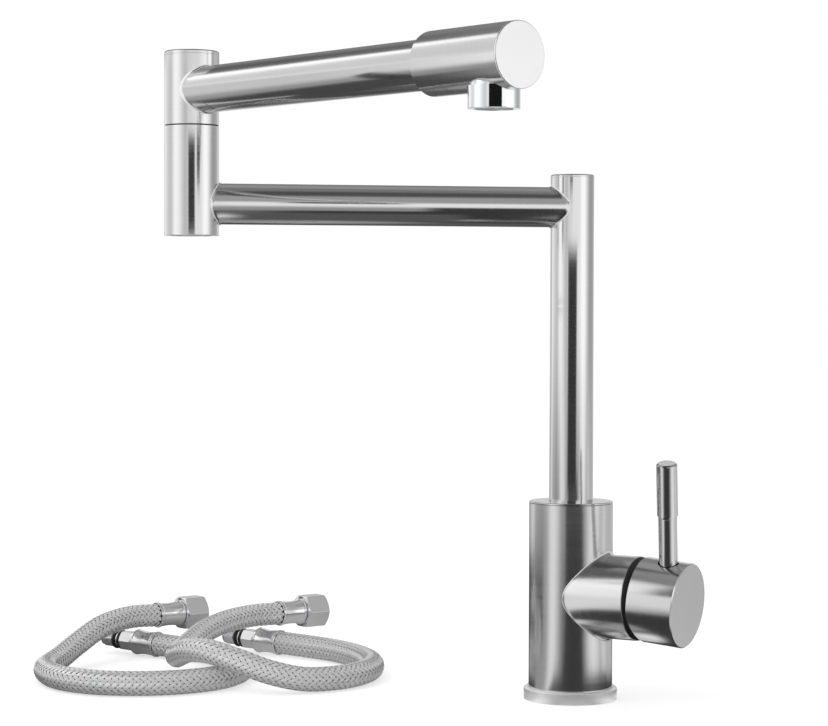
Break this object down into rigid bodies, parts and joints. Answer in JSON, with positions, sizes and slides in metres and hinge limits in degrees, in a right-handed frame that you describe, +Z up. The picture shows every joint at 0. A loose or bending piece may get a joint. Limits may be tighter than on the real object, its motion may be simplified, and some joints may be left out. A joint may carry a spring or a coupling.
{
  "type": "kitchen mixer faucet",
  "caption": "Deck-mounted kitchen mixer faucet with a slim column, a side lever, a folding spout of two level tubes on a tall riser and a pair of braided supply hoses.",
  "frame": {"origin": "on the deck, at the axis of the column and of the riser that swivels in it", "axes": "+Z up, +X along the valve branch towards the handle, +Y towards the back left of the picture"},
  "size_m": [0.4147, 0.3151, 0.3516],
  "materials": {
    "brushed_steel": "fine brushed stainless steel, brushed round the turned pieces",
    "satin_ring": "blasted satin stainless steel",
    "polished_chrome": "polished chrome plate",
    "plated_brass": "nickel-plated brass",
    "raw_brass": "machined brass",
    "steel_fastener": "machined stainless steel",
    "black_rubber": "smooth black rubber",
    "black_plastic": "matt black plastic",
    "white_plastic": "natural white acetal",
    "grey_plastic": "moulded grey plastic",
    "ceramic": "lapped alumina ceramic",
    "steel_braid": "braided stainless wire over a rubber hose"
  },
  "bodies": {
    "body": {"base_ring": "satin_ring", "base_gasket": "black_rubber", "column_tube": "brushed_steel", "branch_tube": "brushed_steel", "base_plug": "raw_brass", "feed_tubes": "raw_brass", "valve_block": "raw_brass", "top_collar": "brushed_steel", "riser_bush": "white_plastic", "swivel_screw": "steel_fastener", "cartridge_base": "grey_plastic", "port_seals": "black_rubber", "fixed_disc": "ceramic", "cartridge_shell": "grey_plastic", "cartridge_nut": "raw_brass", "cover_ring": "black_plastic", "hose_a_tube": "steel_braid", "hose_a_ferrules": "plated_brass", "hose_a_connector": "plated_brass", "hose_a_orings": "black_rubber", "hose_a_tail": "plated_brass", "hose_a_washer": "black_rubber", "hose_b_tube": "steel_braid", "hose_b_ferrules": "plated_brass", "hose_b_connector": "plated_brass", "hose_b_orings": "black_rubber", "hose_b_tail": "plated_brass", "hose_b_washer": "black_rubber"},
    "rotor": {"cartridge_rotor": "white_plastic", "pivot_pin": "steel_fastener"},
    "slider": {"moving_disc": "ceramic", "disc_carrier": "white_plastic"},
    "handle": {"cartridge_spindle": "steel_fastener", "handle_cap": "brushed_steel", "lever_rod": "brushed_steel", "handle_screw": "steel_fastener"},
    "riser": {"riser_tube": "brushed_steel", "riser_spigot": "raw_brass", "riser_orings": "black_rubber", "riser_cap": "brushed_steel", "lower_arm": "brushed_steel", "lower_sleeve": "brushed_steel", "sleeve_plug": "brushed_steel", "hinge_washer": "black_plastic"},
    "spout": {"hinge_shaft": "raw_brass", "hinge_orings": "black_rubber", "hinge_nut": "steel_fastener", "upper_sleeve": "brushed_steel", "hinge_cap": "brushed_steel", "upper_arm": "brushed_steel", "spout_head": "brushed_steel", "head_cap": "brushed_steel", "aerator_ring": "polished_chrome", "aerator_insert": "white_plastic", "aerator_screens": "steel_fastener", "aerator_washer": "black_rubber"},
    "union_a": {"hose_a_nut": "plated_brass"},
    "union_b": {"hose_b_nut": "plated_brass"}
  },
  "joints": [
    {"name": "riser_swivel", "type": "hinge", "parent": "body", "child": "riser", "pos_m": [0, 0, 0.1], "axis": [0, 0, 1], "continuous": true},
    {"name": "arm_fold", "type": "hinge", "parent": "riser", "child": "spout", "pos_m": [-0.15862, -0.13548, 0.312], "axis": [0, 0, 1], "continuous": true},
    {"name": "handle_temperature", "type": "hinge", "parent": "body", "child": "rotor", "pos_m": [0, 0, 0.0579], "axis": [1, 0, 0], "range_deg": [-63.7, 36.3]},
    {"name": "handle_flow", "type": "hinge", "parent": "rotor", "child": "handle", "pos_m": [0.045, 0, 0.0579], "axis": [0, 0.9715, 0.2368], "range_deg": [-5, 13]},
    {"name": "disc_slide", "type": "slide", "parent": "rotor", "child": "slider", "axis": [0, -0.2368, 0.9715], "range_m": [-0.0014, 0.0036]},
    {"name": "union_a_spin", "type": "hinge", "parent": "body", "child": "union_a", "pos_m": [-0.29077, 0.00683, 0.025], "axis": [0.3712, 0.9285, 0], "continuous": true},
    {"name": "union_b_spin", "type": "hinge", "parent": "body", "child": "union_b", "pos_m": [-0.23171, 0.05344, 0.025], "axis": [0.3712, 0.9285, 0], "continuous": true}
  ],
  "couplings": [
    {"joint": "disc_slide", "follows": "handle_flow", "m_per_rad": 0.0155}
  ]
}
